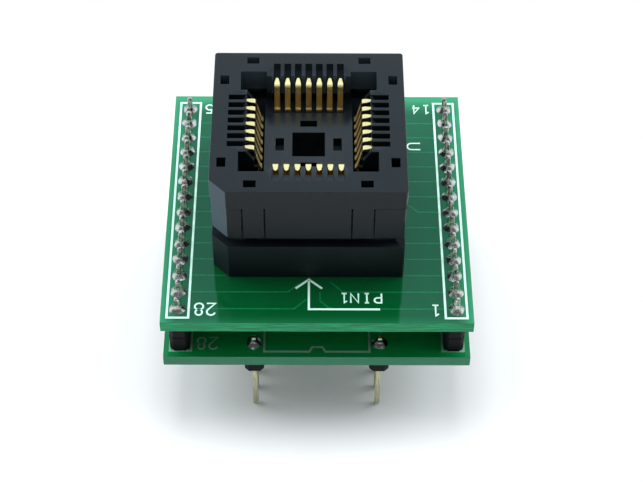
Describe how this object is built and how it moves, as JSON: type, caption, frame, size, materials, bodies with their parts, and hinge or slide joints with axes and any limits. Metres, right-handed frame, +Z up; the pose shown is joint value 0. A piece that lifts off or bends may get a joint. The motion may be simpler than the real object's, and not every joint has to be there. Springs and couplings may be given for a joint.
{
  "type": "ic programming adapter",
  "caption": "Open-top socket for a square J-lead chip on two stacked green boards, with two rows of pins below that plug into a programmer's DIP socket.",
  "frame": {"origin": "middle of the boards, at the tips of the DIP pins, where the adapter stands", "axes": "+Z up towards the socket's mouth, -Y towards the front edge with the arrow, +X to the right"},
  "size_m": [0.037, 0.0376, 0.0345],
  "materials": {
    "board": "green solder mask over glass-fibre board",
    "strip": "black moulded pin strip",
    "pin": "pale gold plated square pin",
    "solder": "bright tin solder",
    "socket": "black glass-filled moulding, satin",
    "contact": "gold plated spring strip",
    "spring": "spring steel wire"
  },
  "bodies": {
    "adapter": {"upper_board": "board", "lower_board": "board", "upper_strip_left": "strip", "upper_strip_right": "strip", "lower_strip_left": "strip", "lower_strip_right": "strip", "dip_strip_left": "strip", "dip_strip_right": "strip", "link_pins_left": "pin", "link_pins_right": "pin", "dip_pins_left": "pin", "dip_pins_right": "pin", "top_solder_left": "solder", "top_solder_right": "solder", "bottom_solder_left": "solder", "bottom_solder_right": "solder", "dip_solder_left": "solder", "dip_solder_right": "solder", "tail_solder": "solder", "socket_base": "socket", "seat_plate": "socket", "contact_stems_front": "contact", "contact_stems_right": "contact", "contact_stems_rear": "contact", "contact_stems_left": "contact", "cover_springs": "spring"},
    "cover": {"socket_cover": "socket"},
    "front_contacts": {"contact_arms_front": "contact"},
    "right_contacts": {"contact_arms_right": "contact"},
    "rear_contacts": {"contact_arms_rear": "contact"},
    "left_contacts": {"contact_arms_left": "contact"}
  },
  "joints": [
    {"name": "cover_press", "type": "slide", "parent": "adapter", "child": "cover", "axis": [0, 0, -1], "range_m": [0, 0.0014], "stiffness_N_per_m": 2500, "springref_m": -0.0008, "deforming": ["cover_springs"]},
    {"name": "front_contacts_swing", "type": "hinge", "parent": "adapter", "child": "front_contacts", "pos_m": [-0.00106, -0.00726, 0.02652], "axis": [1, 0, 0], "range_deg": [0, 9.5]},
    {"name": "right_contacts_swing", "type": "hinge", "parent": "adapter", "child": "right_contacts", "pos_m": [0.00584, -0.00036, 0.02652], "axis": [0, 1, 0], "range_deg": [0, 9.5]},
    {"name": "rear_contacts_swing", "type": "hinge", "parent": "adapter", "child": "rear_contacts", "pos_m": [-0.00106, 0.00654, 0.02652], "axis": [-1, 0, 0], "range_deg": [0, 9.5]},
    {"name": "left_contacts_swing", "type": "hinge", "parent": "adapter", "child": "left_contacts", "pos_m": [-0.00796, -0.00036, 0.02652], "axis": [0, -1, 0], "range_deg": [0, 9.5]}
  ],
  "couplings": [
    {"joint": "front_contacts_swing", "follows": "cover_press", "rad_per_m": 118.43},
    {"joint": "right_contacts_swing", "follows": "cover_press", "rad_per_m": 118.43},
    {"joint": "rear_contacts_swing", "follows": "cover_press", "rad_per_m": 118.43},
    {"joint": "left_contacts_swing", "follows": "cover_press", "rad_per_m": 118.43}
  ]
}
